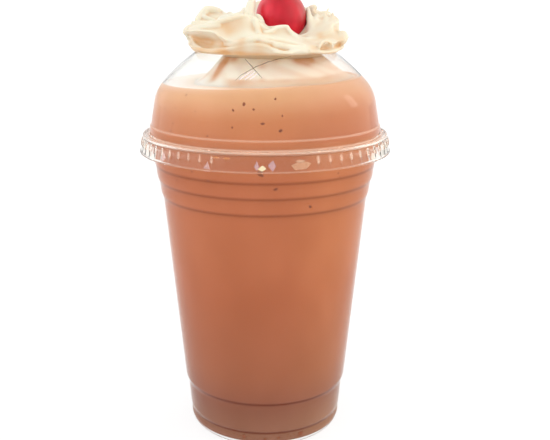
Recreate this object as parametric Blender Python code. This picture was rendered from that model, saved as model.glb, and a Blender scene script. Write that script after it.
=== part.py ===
"""A thick fruit milkshake in a clear plastic cup with a dome lid, whipped cream and a cherry.

Origin: centre of the cup's foot, on the ground. +Z is up and the front faces -Y. Sizes are in metres.
"""

from math import acos, atan2, cos, hypot, pi, radians, sin

import bmesh
import bpy
from mathutils import Vector

MM = 0.001

# --- driving dimensions -------------------------------------------------------------------------

CUP_SEGMENTS = 48
CUP_WALL = 0.6 * MM
CUP_RIM_RADIUS = 48.8 * MM
CUP_RIM_TOP = 126.9 * MM
CUP_NECK_RADIUS = 46.0 * MM  # outside of the wall just under the rim
CUP_FLOOR = 2.8 * MM  # inside of the floor above the ground
FOOT_RADIUS = 30.5 * MM
FOOT_WIDTH = 2.4 * MM
BASE_BEAD_RADIUS = 32.8 * MM
LOW_BAND_BOTTOM = 6.6 * MM
LOW_BAND_TOP = 20.4 * MM
LOW_BAND_RADII = (33.0 * MM, 33.9 * MM)  # at its bottom and its top
WALL_RADII = (34.9 * MM, 42.4 * MM)  # the long plain taper, at its bottom and its top
STACKING_STEPS = (  # height of the step, radius just above it, radius under the next one
    (102.4 * MM, 43.3 * MM, 43.8 * MM),
    (109.0 * MM, 44.7 * MM, 45.1 * MM),
    (115.2 * MM, 45.6 * MM, CUP_NECK_RADIUS),
)
STEP_HEIGHT = 1.0 * MM

LID_SEGMENTS = 64  # one raised grip pad for each
LID_WALL = 0.5 * MM
SKIRT_EDGE_RADIUS = 51.4 * MM
SKIRT_EDGE_HEIGHT = 120.4 * MM
GRIP_BOTTOM = (50.5 * MM, 123.6 * MM)
GRIP_TOP = (49.8 * MM, 127.0 * MM)
GRIP_MARGIN = 0.4 * MM
GRIP_RELIEF = 0.35 * MM
FLANGE_TOP = 127.9 * MM
SHOULDER_RADIUS = 47.1 * MM
SHOULDER_HEIGHT = 130.9 * MM
DOME_FOOT = (46.6 * MM, 131.5 * MM)
DOME_DRAFT = radians(10)  # lean of the dome's upright part
DOME_UPRIGHT = 9.2 * MM
DOME_BEND_RADIUS = 16.0 * MM
DOME_SLOPE = radians(43)  # lean where the bend ends
DOME_CROWN_RADIUS = 86.0 * MM
DOME_CROWN_LEAN = radians(55)  # lean where the hole's flat edge begins
HOLE_RADIUS = 25.0 * MM

GAP = 0.3 * MM  # between pieces that touch

SHAKE_LEVEL = 149.2 * MM  # on the axis
SHAKE_TILT = 0.035  # rise of the surface towards +X
SHAKE_DOME_ROWS = 6  # rings of the drink inside the dome
SHAKE_MIDDLE_RING = 20.0 * MM

MOUND_CENTRE = 3.2 * MM  # along X
MOUND_BASE_RADIUS = 31.0 * MM
MOUND_TOP_RADIUS = 20.5 * MM
MOUND_TOP = 158.2 * MM
MOUND_SEGMENTS = 40
MOUND_WAVES = 7
MOUND_WAVE_DEPTH = 0.7 * MM

HEAD_SEGMENTS = 72
NECK_RADIUS = 17.0 * MM
UNDER_LIP_RADIUS = 28.6 * MM
CORE_RADIUS = 11.0 * MM  # the ring inside the head that its hollows are pressed towards
CORE_HEIGHT = 166.0 * MM
CREAM_CLEARANCE = 0.5 * MM  # between the cream and the lid
CHERRY_CLEARANCE = 0.7 * MM
SEAT_LEAN = radians(65)  # from straight down, at the edge of the cherry's bed
SEAT_DROP = 1.2 * MM  # of the bed's edge below the rim
FLUTE_DEPTH = 2.4 * MM  # between two crests
LIP_FLUTE_DEPTH = 0.8 * MM  # between the lip and the crest above it
HOLLOW_DEPTH = 4.6 * MM  # of the large fold on the left
HOLLOW_AZIMUTH = -146
HOLLOW_WIDTH = 38  # degrees to each side
CRINKLES_PER_TURN = 24
CRINKLE_DEPTH = 1.5 * MM

CHERRY_CENTRE = Vector((6.3, 0.0, 173.8)) * MM
CHERRY_RADIUS = 9.9 * MM
CHERRY_SEGMENTS = 24
CHERRY_RINGS = 12
STEM_DIMPLE_DEPTH = 1.6 * MM
STEM_DIMPLE_RADIUS = 4.0 * MM

# The piped head's crest lines: azimuth from +X in degrees, then radius and height in mm.
# The front is at -90. The lip lies on the dome, and the rim runs round the cherry.
CREST_LIP = (
    (-180, 30.8, 163.4), (-160, 31.2, 162.6), (-134, 30.6, 161.2), (-118, 30.0, 162.2), (-100, 30.0, 163.2),
    (-78, 29.5, 161.2), (-56, 30.0, 161.2), (-35, 30.0, 160.9), (-15, 31.0, 161.6), (75, 30.2, 161.4),
)
CREST_LOWER = (
    (-180, 31.8, 168.0), (-160, 31.8, 168.4), (-128, 31.0, 168.6), (-117, 31.0, 165.8), (-95, 29.4, 166.4),
    (-67, 28.8, 163.4), (-35, 31.0, 164.2), (-17, 33.0, 165.4), (10, 32.8, 165.8), (95, 30.8, 167.2),
)
CREST_UPPER = (
    (-180, 30.0, 169.8), (-164, 30.8, 169.4), (-136, 28.0, 171.6), (-112, 22.2, 174.4), (-96, 17.4, 171.8),
    (-84, 17.2, 169.8), (-60, 17.2, 170.0), (-38, 22.5, 165.8), (-15, 28.6, 171.2), (35, 27.0, 176.0),
    (80, 25.0, 177.2), (112, 23.6, 175.6), (130, 23.0, 174.2), (152, 24.6, 176.4),
)
CREST_RIM = (
    (-180, 18.0, 173.8), (-125, 16.4, 175.2), (-100, 13.6, 173.2), (-88, 12.8, 170.6), (-66, 13.6, 170.4),
    (-40, 17.6, 167.0), (-8, 20.6, 173.6), (20, 20.0, 176.8), (55, 17.4, 178.4), (100, 14.4, 179.6),
    (128, 15.0, 175.8), (150, 16.0, 174.2),
)


# --- curves --------------------------------------------------------------------------------------

def smooth_step(t):
    return t * t * (3 - 2 * t)


def between(low, high, t):
    return low + (high - low) * t


def bump(azimuth, centre, width):
    """1 at the centre azimuth, falling smoothly to 0 at width degrees on each side."""
    away = abs((azimuth - centre + 180) % 360 - 180)
    return smooth_step(1 - away / width) if away < width else 0.0


def round_crest(keys, azimuth):
    """Radius and height in metres on the smooth closed line through the keys, a Catmull-Rom spline."""
    wrapped = [(key[0] + 360 * turn, key[1], key[2]) for turn in (-1, 0, 1) for key in keys]
    low = max(i for i, key in enumerate(wrapped) if key[0] <= azimuth)
    before, start, end, after = wrapped[low - 1:low + 3]
    span = end[0] - start[0]
    t = (azimuth - start[0]) / span
    found = []
    for axis in (1, 2):
        leaving = (end[axis] - before[axis]) / (end[0] - before[0]) * span
        arriving = (after[axis] - start[axis]) / (after[0] - start[0]) * span
        step = smooth_step(t)
        found.append(
            between(start[axis], end[axis], step)
            + leaving * t * (1 - t) ** 2
            - arriving * t * t * (1 - t)
        )
    return found[0] * MM, found[1] * MM


def arc(start, lean, radius, turn, steps):
    """Points of (radius, height) along an arc that starts at a lean from upright and bends inward."""
    centre = (start[0] - radius * cos(lean), start[1] - radius * sin(lean))
    angles = [lean + turn * step / steps for step in range(1, steps + 1)]
    return [(centre[0] + radius * cos(a), centre[1] + radius * sin(a)) for a in angles]


def dome_outline(inset):
    """The dome's profile from its foot to the hole, set in from the outside by inset."""
    foot = (DOME_FOOT[0] - inset * cos(DOME_DRAFT), DOME_FOOT[1] - inset * sin(DOME_DRAFT))
    bend = (foot[0] - DOME_UPRIGHT * sin(DOME_DRAFT), foot[1] + DOME_UPRIGHT * cos(DOME_DRAFT))
    outline = [foot, bend]
    outline += arc(bend, DOME_DRAFT, DOME_BEND_RADIUS - inset, DOME_SLOPE - DOME_DRAFT, 4)
    outline += arc(outline[-1], DOME_SLOPE, DOME_CROWN_RADIUS - inset, DOME_CROWN_LEAN - DOME_SLOPE, 3)
    edge = outline[-1]
    outline.append((HOLE_RADIUS, edge[1] + (edge[0] - HOLE_RADIUS) / 2))
    return outline


def dome_radius(height, inset):
    """Radius of the dome's profile at a height, set in by inset."""
    outline = dome_outline(inset)
    for low, high in zip(outline, outline[1:]):
        if height <= high[1]:
            return between(low[0], high[0], max(0.0, (height - low[1]) / (high[1] - low[1])))
    return HOLE_RADIUS


def dome_height(radius):
    """Height of the dome's outside at a radius."""
    outline = dome_outline(0.0)
    for low, high in zip(outline, outline[1:]):
        if radius >= high[0]:
            return between(low[1], high[1], (low[0] - radius) / (low[0] - high[0]))
    return outline[-1][1]


def cup_wall_outline():
    """The outside of the cup's wall, from the low groove to the neck."""
    outline = [(BASE_BEAD_RADIUS - 0.6 * MM, LOW_BAND_BOTTOM - STEP_HEIGHT / 2)]
    outline.append((LOW_BAND_RADII[0], LOW_BAND_BOTTOM + STEP_HEIGHT / 2))
    outline.append((LOW_BAND_RADII[1], LOW_BAND_TOP - STEP_HEIGHT / 2))
    outline.append((WALL_RADII[0], LOW_BAND_TOP + STEP_HEIGHT / 2))
    outline.append((WALL_RADII[1], STACKING_STEPS[0][0] - STEP_HEIGHT / 2))
    tops = [step[0] for step in STACKING_STEPS[1:]] + [CUP_RIM_TOP - 3.0 * MM]
    for (height, low_radius, high_radius), top in zip(STACKING_STEPS, tops):
        outline.append((low_radius, height + STEP_HEIGHT / 2))
        outline.append((high_radius, top - STEP_HEIGHT / 2))
    return outline


def shake_height(x):
    return SHAKE_LEVEL + SHAKE_TILT * x


# --- building blocks -----------------------------------------------------------------------------

def material(name, colour, roughness, transmission=0.0, ior=1.45):
    made = bpy.data.materials.new(name)
    made.use_nodes = True
    shader = made.node_tree.nodes["Principled BSDF"]
    shader.inputs["Base Color"].default_value = (*colour, 1.0)
    shader.inputs["Roughness"].default_value = roughness
    shader.inputs["Metallic"].default_value = 0.0
    shader.inputs["Transmission Weight"].default_value = transmission
    shader.inputs["IOR"].default_value = ior
    return made


def add_object(name, mesh_builder, surface, sharp_angle=radians(35)):
    """Closes the bmesh into an object with outward faces and its material."""
    bmesh.ops.recalc_face_normals(mesh_builder, faces=mesh_builder.faces)
    mesh = bpy.data.meshes.new(name)
    mesh_builder.to_mesh(mesh)
    mesh_builder.free()
    mesh.materials.append(surface)
    mesh.shade_smooth()
    mesh.set_sharp_from_angle(angle=sharp_angle)
    made = bpy.data.objects.new(name, mesh)
    bpy.context.scene.collection.objects.link(made)
    return made


def turned(outline, segments, closed):
    """A bmesh turned about Z from an outline of (radius, height). A closed outline meets itself."""
    built = bmesh.new()
    points = [built.verts.new((radius, 0.0, height)) for radius, height in outline]
    pairs = list(zip(points, points[1:])) + ([(points[-1], points[0])] if closed else [])
    edges = [built.edges.new(pair) for pair in pairs]
    bmesh.ops.spin(
        built, geom=points + edges, axis=(0, 0, 1), cent=(0, 0, 0), angle=2 * pi, steps=segments
    )
    bmesh.ops.remove_doubles(built, verts=built.verts, dist=0.01 * MM)
    return built


def lofted(rings, bottom, top):
    """A bmesh skinned over rings of equal length, closed by a fan to a point at each end."""
    built = bmesh.new()
    loops = [[built.verts.new(point) for point in ring] for ring in rings]
    count = len(rings[0])
    for low, high in zip(loops, loops[1:]):
        for i in range(count):
            j = (i + 1) % count
            built.faces.new((low[i], low[j], high[j], high[i]))
    for loop, centre in ((loops[0], bottom), (loops[-1], top)):
        pole = built.verts.new(centre)
        for i in range(count):
            built.faces.new((loop[i], loop[(i + 1) % count], pole))
    return built


def azimuths(count):
    """Degrees from -180, evenly round the turn."""
    return [-180 + 360 * step / count for step in range(count)]


def ring(count, radius, height, centre_x=0.0):
    """Points round an upright axis. The radius and height may be functions of azimuth in degrees."""
    points = []
    for azimuth in azimuths(count):
        r = radius(azimuth) if callable(radius) else radius
        x, y = centre_x + r * cos(radians(azimuth)), r * sin(radians(azimuth))
        points.append(Vector((x, y, height(azimuth) if callable(height) else height)))
    return points


# --- the pieces ----------------------------------------------------------------------------------

def make_cup():
    wall = cup_wall_outline()
    foot_inside = FOOT_RADIUS - FOOT_WIDTH
    recess = CUP_FLOOR - CUP_WALL
    outline = [(0.0, recess), (foot_inside - 1.2 * MM, recess), (foot_inside, 0.0), (FOOT_RADIUS, 0.0)]
    outline += [(BASE_BEAD_RADIUS - 0.8 * MM, 1.5 * MM), (BASE_BEAD_RADIUS, 4.0 * MM)]
    outline += wall
    rim_low = CUP_RIM_TOP - 2.4 * MM
    outline += [
        (CUP_RIM_RADIUS - 0.5 * MM, rim_low),
        (CUP_RIM_RADIUS, CUP_RIM_TOP - 1.3 * MM),
        (CUP_RIM_RADIUS - 0.8 * MM, CUP_RIM_TOP),
        (CUP_NECK_RADIUS, CUP_RIM_TOP),
        (CUP_NECK_RADIUS - CUP_WALL, CUP_RIM_TOP - 0.8 * MM),
    ]
    outline += [(radius - CUP_WALL, height) for radius, height in reversed(wall)]
    outline += [(FOOT_RADIUS, CUP_FLOOR), (0.0, CUP_FLOOR)]
    built = turned(outline, CUP_SEGMENTS, closed=False)
    clear = material("clear_cup_plastic", (0.94, 0.95, 0.94), 0.08, transmission=1.0, ior=1.57)
    return add_object("cup", built, clear, sharp_angle=radians(50))


def make_lid():
    outside = [
        (SKIRT_EDGE_RADIUS, SKIRT_EDGE_HEIGHT),
        (SKIRT_EDGE_RADIUS - 0.4 * MM, SKIRT_EDGE_HEIGHT + 0.6 * MM),
        GRIP_BOTTOM,
        GRIP_TOP,
        (GRIP_TOP[0] - 0.6 * MM, FLANGE_TOP - 0.2 * MM),
        (GRIP_TOP[0] - 1.6 * MM, FLANGE_TOP),
        (SHOULDER_RADIUS + 0.1 * MM, FLANGE_TOP - 0.1 * MM),
        (SHOULDER_RADIUS, SHOULDER_HEIGHT),
    ]
    outside += dome_outline(0.0)
    inside = list(reversed(dome_outline(LID_WALL)))
    inside += [
        (SHOULDER_RADIUS - LID_WALL, SHOULDER_HEIGHT - 0.2 * MM),
        (SHOULDER_RADIUS - LID_WALL, FLANGE_TOP - 0.1 * MM - LID_WALL),
        (GRIP_TOP[0] - 1.4 * MM, FLANGE_TOP - LID_WALL),
        (GRIP_TOP[0] - LID_WALL, GRIP_TOP[1] - 0.4 * MM),
        (GRIP_BOTTOM[0] - LID_WALL, GRIP_BOTTOM[1]),
        (SKIRT_EDGE_RADIUS - 0.4 * MM - LID_WALL, SKIRT_EDGE_HEIGHT),
    ]
    built = turned(outside + inside, LID_SEGMENTS, closed=True)
    raise_grip_pads(built)
    clear = material("clear_lid_plastic", (0.95, 0.96, 0.95), 0.06, transmission=1.0, ior=1.57)
    return add_object("lid", built, clear, sharp_angle=radians(30))


def raise_grip_pads(built):
    """Raises a pad on each facet of the skirt's outer grip band."""
    bmesh.ops.recalc_face_normals(built, faces=built.faces)
    pads = []
    for face in built.faces:
        centre = face.calc_center_median()
        in_band = GRIP_BOTTOM[1] < centre.z < GRIP_TOP[1]
        on_skirt = hypot(centre.x, centre.y) > GRIP_TOP[0] - LID_WALL / 2
        faces_out = face.normal.x * centre.x + face.normal.y * centre.y > 0
        if in_band and on_skirt and faces_out:
            pads.append(face)
    bmesh.ops.inset_individual(built, faces=pads, thickness=GRIP_MARGIN, depth=GRIP_RELIEF)


def shake_top(azimuth, inset):
    """Where the drink's surface meets the dome. Level and radius depend on each other: two passes do."""
    level = SHAKE_LEVEL
    for _ in range(2):
        level = shake_height(dome_radius(level, inset) * cos(radians(azimuth)))
    return level


def make_milkshake():
    rings = [ring(CUP_SEGMENTS, FOOT_RADIUS - GAP, CUP_FLOOR + GAP)]
    inset = CUP_WALL + GAP
    rings += [ring(CUP_SEGMENTS, radius - inset, height) for radius, height in cup_wall_outline()]
    rings.append(ring(CUP_SEGMENTS, CUP_NECK_RADIUS - inset - 0.2 * MM, CUP_RIM_TOP))
    rings.append(ring(CUP_SEGMENTS, DOME_FOOT[0] - LID_WALL - GAP - 0.2 * MM, SHOULDER_HEIGHT))
    inset = LID_WALL + GAP
    for row in range(1, SHAKE_DOME_ROWS + 1):
        def height(azimuth, share=row / SHAKE_DOME_ROWS):
            return between(DOME_FOOT[1], shake_top(azimuth, inset), share)

        rings.append(ring(CUP_SEGMENTS, lambda a, h=height: dome_radius(h(a), inset), height))
    rings.append(
        ring(CUP_SEGMENTS, SHAKE_MIDDLE_RING, lambda a: shake_height(SHAKE_MIDDLE_RING * cos(radians(a))))
    )
    built = lofted(rings, (0, 0, CUP_FLOOR + GAP), (0, 0, shake_height(0)))
    shake = material("milkshake", (0.52, 0.20, 0.11), 0.45)
    return add_object("milkshake", built, shake)


def make_cream_mound():
    """The cream that has sunk through the hole on to the drink, as a wavy truncated cone."""
    rows = 5
    rings = []
    for row in range(rows + 1):
        share = row / rows
        radius = between(MOUND_BASE_RADIUS, MOUND_TOP_RADIUS, share ** 0.85)
        wave = MOUND_WAVE_DEPTH * (1 - 0.6 * share)

        def wavy(azimuth, radius=radius, wave=wave, share=share):
            return radius + wave * cos(radians(MOUND_WAVES * azimuth + 60 * share))

        def height(azimuth, radius=radius, share=share):
            foot = shake_height(MOUND_CENTRE + radius * cos(radians(azimuth))) + GAP
            return between(foot, MOUND_TOP, share)

        rings.append(ring(MOUND_SEGMENTS, wavy, height, MOUND_CENTRE))
    bottom = (MOUND_CENTRE, 0, shake_height(MOUND_CENTRE) + GAP)
    built = lofted(rings, bottom, (MOUND_CENTRE, 0, MOUND_TOP))
    cream = material("whipped_cream_tinted", (0.86, 0.66, 0.50), 0.55)
    return add_object("whipped_cream_under_lid", built, cream, sharp_angle=radians(60))


def crinkle(azimuth):
    """Star-tip ridges that run up the right side of the head."""
    share = bump(azimuth, 5, 70)
    return share * CRINKLE_DEPTH * cos(radians(CRINKLES_PER_TURN * azimuth))


def crest_point(keys, azimuth, crinkled=1.0):
    radius, height = round_crest(keys, azimuth)
    radius += crinkled * crinkle(azimuth)
    return Vector((radius * cos(radians(azimuth)), radius * sin(radians(azimuth)), height))


def flute(low, high, azimuth, depth):
    """The middle of the hollow between two crests, pressed in towards the head's core."""
    middle = (low + high) / 2
    core = Vector((CORE_RADIUS * cos(radians(azimuth)), CORE_RADIUS * sin(radians(azimuth)), CORE_HEIGHT))
    return middle + (core - middle).normalized() * depth


def seat_point(rim, share):
    """A point of the cherry's bed below the rim: share 0 is its bottom and 1 its edge."""
    reach = CHERRY_RADIUS + CHERRY_CLEARANCE
    below_centre = (CHERRY_CENTRE.z - rim.z + SEAT_DROP) / reach
    lean = min(SEAT_LEAN, acos(min(1.0, max(-1.0, below_centre)))) * share
    around = atan2(rim.y - CHERRY_CENTRE.y, rim.x - CHERRY_CENTRE.x)
    return CHERRY_CENTRE + Vector((sin(lean) * cos(around), sin(lean) * sin(around), -cos(lean))) * reach


def clear_of_cherry(point):
    away = point - CHERRY_CENTRE
    clearance = CHERRY_RADIUS + CHERRY_CLEARANCE
    if away.length < clearance:
        point = CHERRY_CENTRE + away.normalized() * clearance
    return point


def make_cream_head():
    """The piped head: a neck in the hole, a lip on the dome, folded crests and a seat for the cherry."""
    count = HEAD_SEGMENTS
    neck_low = MOUND_TOP + GAP
    hole_top = dome_height(HOLE_RADIUS) + CREAM_CLEARANCE
    rings = [
        ring(count, NECK_RADIUS, neck_low, MOUND_CENTRE),
        ring(count, NECK_RADIUS, hole_top - 0.2 * MM, MOUND_CENTRE),
        ring(count, HOLE_RADIUS - 2.2 * MM, hole_top + 0.1 * MM),
        ring(count, HOLE_RADIUS + 0.8 * MM, hole_top),
        ring(count, UNDER_LIP_RADIUS, dome_height(UNDER_LIP_RADIUS) + CREAM_CLEARANCE),
    ]
    names = "lip hollow lower flute upper valley rim seat_high seat_middle seat_low"
    rows = {name: [] for name in names.split()}
    for azimuth in azimuths(count):
        lip = crest_point(CREST_LIP, azimuth, 0.5)
        lower = crest_point(CREST_LOWER, azimuth)
        upper = crest_point(CREST_UPPER, azimuth)
        rim = crest_point(CREST_RIM, azimuth, 0.5)
        hollow = between(LIP_FLUTE_DEPTH, HOLLOW_DEPTH, bump(azimuth, HOLLOW_AZIMUTH, HOLLOW_WIDTH))
        rows["lip"].append(lip)
        rows["hollow"].append(flute(lip, lower, azimuth, hollow))
        rows["lower"].append(lower)
        rows["flute"].append(flute(lower, upper, azimuth, FLUTE_DEPTH))
        rows["upper"].append(upper)
        rows["valley"].append(flute(upper, rim, azimuth, FLUTE_DEPTH))
        rows["rim"].append(rim)
        rows["seat_high"].append(seat_point(rim, 1.0))
        rows["seat_middle"].append(seat_point(rim, 0.66))
        rows["seat_low"].append(seat_point(rim, 0.33))
    rings += [[clear_of_cherry(point) for point in row] for row in rows.values()]
    seat_bottom = CHERRY_CENTRE - Vector((0, 0, CHERRY_RADIUS + CHERRY_CLEARANCE))
    built = lofted(rings, (MOUND_CENTRE, 0, neck_low), seat_bottom)
    cream = material("whipped_cream", (0.93, 0.86, 0.72), 0.5)
    return add_object("whipped_cream", built, cream, sharp_angle=radians(60))


def make_cherry():
    """A round cherry with the shallow dimple that its stalk came out of."""
    built = bmesh.new()
    bmesh.ops.create_uvsphere(
        built, u_segments=CHERRY_SEGMENTS, v_segments=CHERRY_RINGS, radius=CHERRY_RADIUS
    )
    for vertex in built.verts:
        across = hypot(vertex.co.x, vertex.co.y)
        if vertex.co.z > 0 and across < STEM_DIMPLE_RADIUS:
            vertex.co.z -= STEM_DIMPLE_DEPTH * smooth_step(1 - across / STEM_DIMPLE_RADIUS)
    red = material("cherry_skin", (0.72, 0.03, 0.05), 0.15)
    made = add_object("cherry", built, red)
    made.location = CHERRY_CENTRE
    return made


def main():
    for old in list(bpy.data.objects):
        bpy.data.objects.remove(old)
    make_cup()
    make_lid()
    make_milkshake()
    make_cream_mound()
    make_cream_head()
    make_cherry()


main()
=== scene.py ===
"""The looks of a milkshake in a clear cup with a dome lid, whipped cream and a cherry.

Metres, +Z up, the front faces -Y. The sizes are those of the solids in the frame. A piece that takes a
solid's place is a finer form of the same shape, and the specks, the tabs and the lines on the dome are
added to them. The tabs' colours and the lines on the dome are painted glints and a painted reflection.
"""

import random
from math import acos, atan2, cos, hypot, pi, radians, sin

import bmesh
import bpy
import numpy as np
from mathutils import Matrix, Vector, noise


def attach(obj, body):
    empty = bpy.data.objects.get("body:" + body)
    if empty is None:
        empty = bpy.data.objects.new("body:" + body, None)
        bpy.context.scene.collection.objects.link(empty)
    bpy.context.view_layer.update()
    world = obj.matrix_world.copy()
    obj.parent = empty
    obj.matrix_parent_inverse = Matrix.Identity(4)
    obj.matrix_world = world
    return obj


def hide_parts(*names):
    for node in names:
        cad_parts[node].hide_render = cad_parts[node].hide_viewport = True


MM = 0.001

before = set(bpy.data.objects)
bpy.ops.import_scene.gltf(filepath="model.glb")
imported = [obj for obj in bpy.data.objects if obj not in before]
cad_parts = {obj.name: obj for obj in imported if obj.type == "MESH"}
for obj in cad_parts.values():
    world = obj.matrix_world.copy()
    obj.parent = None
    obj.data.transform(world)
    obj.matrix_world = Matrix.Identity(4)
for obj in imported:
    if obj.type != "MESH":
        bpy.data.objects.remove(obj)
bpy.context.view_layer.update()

# --- sizes shared with the solids ------------------------------------------------------------------

CUP_WALL = 0.6 * MM
CUP_RIM_RADIUS = 48.8 * MM
CUP_RIM_TOP = 126.9 * MM
CUP_NECK_RADIUS = 46.0 * MM
CUP_FLOOR = 2.8 * MM
FOOT_RADIUS = 30.5 * MM
FOOT_WIDTH = 2.4 * MM
BASE_BEAD_RADIUS = 32.8 * MM
LOW_BAND_BOTTOM = 6.6 * MM
LOW_BAND_TOP = 20.4 * MM
LOW_BAND_RADII = (33.0 * MM, 33.9 * MM)
WALL_RADII = (34.9 * MM, 42.4 * MM)
STACKING_STEPS = (
    (102.4 * MM, 43.3 * MM, 43.8 * MM),
    (109.0 * MM, 44.7 * MM, 45.1 * MM),
    (115.2 * MM, 45.6 * MM, CUP_NECK_RADIUS),
)
STEP_HEIGHT = 1.0 * MM

LID_WALL = 0.5 * MM
SKIRT_EDGE_RADIUS = 51.4 * MM
SKIRT_EDGE_HEIGHT = 120.4 * MM
GRIP_BOTTOM = (50.5 * MM, 123.6 * MM)
GRIP_TOP = (49.8 * MM, 127.0 * MM)
FLANGE_TOP = 127.9 * MM
SHOULDER_RADIUS = 47.1 * MM
SHOULDER_HEIGHT = 130.9 * MM
DOME_FOOT = (46.6 * MM, 131.5 * MM)
DOME_DRAFT = radians(10)
DOME_UPRIGHT = 9.2 * MM
DOME_BEND_RADIUS = 16.0 * MM
DOME_SLOPE = radians(43)
DOME_CROWN_RADIUS = 86.0 * MM
DOME_CROWN_LEAN = radians(55)
HOLE_RADIUS = 25.0 * MM

SHAKE_LEVEL = 149.2 * MM
SHAKE_TILT = 0.035

MOUND_CENTRE = 3.2 * MM
MOUND_BASE_RADIUS = 31.0 * MM
MOUND_TOP_RADIUS = 20.5 * MM
MOUND_TOP = 158.2 * MM

NECK_RADIUS = 19.8 * MM
HEAD_BOTTOM = MOUND_TOP - 1.2 * MM
UNDER_LIP_RADIUS = 28.6 * MM
CREAM_CLEARANCE = 0.5 * MM
SEAT_LEAN = radians(65)
SEAT_DROP = 1.2 * MM
FLUTE_DEPTH = 2.4 * MM
LIP_FLUTE_DEPTH = 0.8 * MM
HOLLOW_DEPTH = 4.6 * MM
HOLLOW_AZIMUTH = -146
HOLLOW_WIDTH = 38
CRINKLES_PER_TURN = 24
CRINKLE_DEPTH = 1.0 * MM
CRINKLES_SPREAD = (5, 70)  # azimuth of their middle, and how far they reach on each side

CHERRY_CENTRE = Vector((6.3, 0.0, 173.8)) * MM
CHERRY_RADIUS = 9.9 * MM
STEM_DIMPLE_DEPTH = 1.6 * MM
STEM_DIMPLE_RADIUS = 4.0 * MM

# The cream's crest lines: azimuth from +X in degrees, then radius and height in mm. The front is -90.
CREST_LIP = (
    (-180, 30.8, 163.4), (-160, 31.2, 162.6), (-134, 30.6, 161.2), (-118, 30, 162.2), (-100, 30, 163.2),
    (-78, 29.5, 161.2), (-56, 30, 161.2), (-35, 30, 160.9), (-15, 31, 161.6), (75, 30.2, 161.4),
)
CREST_LOWER = (
    (-180, 31.8, 168), (-160, 31.8, 168.4), (-128, 31, 168.6), (-117, 31, 165.8), (-95, 29.4, 166.4),
    (-67, 28.8, 163.4), (-35, 31, 164.2), (-17, 33, 165.4), (10, 32.8, 165.8), (95, 30.8, 167.2),
)
CREST_UPPER = (
    (-180, 30, 169.8), (-164, 30.8, 169.4), (-136, 28, 171.6), (-112, 22.2, 174.4), (-96, 17.4, 171.8),
    (-84, 17.2, 169.8), (-60, 17.2, 170), (-38, 22.5, 165.8), (-15, 28.6, 171.2), (35, 27, 176),
    (80, 25, 177.2), (112, 23.6, 175.6), (130, 23, 174.2), (152, 24.6, 176.4),
)
CREST_RIM = (
    (-180, 18, 173.8), (-125, 16.4, 175.2), (-100, 13.6, 173.2), (-88, 12.8, 170.6), (-66, 13.6, 170.4),
    (-40, 17.6, 167), (-8, 20.6, 173.6), (20, 20, 176.8), (55, 17.4, 178.4), (100, 14.4, 179.6),
    (128, 15, 175.8), (150, 16, 174.2),
)

# Each crest line's share of the crinkles' depth, and how far they lean there, in degrees.
CREST_LINES = ((CREST_LIP, 0.4, 0), (CREST_LOWER, 1, 3), (CREST_UPPER, 1, 8), (CREST_RIM, 0.5, 12))

# The drink's colour up its height in mm, from the foot to the froth. Besides the drink's own colour it
# holds painted light and shade: darker toward the foot, and lighter up in the dome, as light falls from
# above.
SHAKE_COLOURS_LIT_AND_SHADED = (
    (5, (146, 98, 76)), (17, (138, 85, 65)), (21, (145, 87, 65)), (33, (159, 93, 65)), (68, (175, 98, 65)),
    (85, (182, 104, 69)), (115, (184, 105, 70)), (131, (194, 118, 79)), (138, (201, 127, 85)),
    (140.5, (207, 138, 96)), (143, (214, 150, 108)), (146, (220, 163, 120)), (148.4, (220, 166, 124)),
)

# The drink's tone from left to right, at x in mm, in the cup and in the dome. In the cup it is painted
# light: paler toward both sides, most on the right, where more light falls. In the dome it is darker on the
# right.
CUP_SIDE_LIGHT_TONES = (
    (-42, (1.03, 1.06, 1.08)), (-28, (1, 1.02, 1.04)), (-8, (1, 1, 1)), (8, (1, 1.01, 1.01)),
    (24, (1.1, 1.2, 1.16)), (42, (1.06, 1.14, 1.02)),
)
DOME_TONES = ((-30, (1, 1, 1)), (4, (1, 1, 1)), (26, (0.93, 0.89, 0.95)))

# The froth's colour from left to right, at x in mm: its own pale peach, with painted sheen that makes it
# almost white toward the left.
FOAM_COLOURS_AND_SHEEN = ((-36, (255, 250, 244)), (-20, (254, 234, 216)), (-10, (244, 200, 166)), (30, (222, 172, 134)))

# The cherry's colour from its ripest skin to its palest, which also serves as painted light on its left and
# lower side.
CHERRY_COLOURS = ((0.3, (166, 4, 26)), (0.5, (190, 10, 36)), (0.75, (226, 38, 62)), (1, (246, 60, 92)))

# The sky's strength from the horizon (0) up (1), and its factors from left to right and front to back.
SKY_HEIGHTS = ((0, (0.84, 0.84, 0.84)), (1, (1.05, 1.05, 1.05)))
SKY_SIDES = ((0, (2, 1.98, 1.98)), (0.32, (1, 1, 1)), (0.6, (1, 1, 1)), (1, (2.15, 2.05, 1.85)))
SKY_DEPTHS = ((0, (1.3, 1.3, 1.3)), (0.45, (1, 1, 1)), (1, (1, 1, 1)))

# A painted reflection of a window frame on the dome's front: two fine dark lines that cross, drawn as thin
# ridges, and the pale stripes between them: (azimuth, height in mm).
FRAME_REFLECTION_LINES = (
    ((-104.5, 159), (-99, 156.8), (-95, 154.8), (-91.5, 152.7)),
    ((-106.5, 152), (-104, 153.8), (-101, 154.8), (-96, 156.5), (-88, 158.1), (-80, 159.1), (-70, 159.8)),
)
FRAME_REFLECTION_STRIPES = (
    ((-104.6, 152.2), (-97.6, 155.4)), ((-101.4, 152.2), (-95.7, 154.9)), ((-98.4, 152.4), (-94.4, 154.2)),
)
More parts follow.
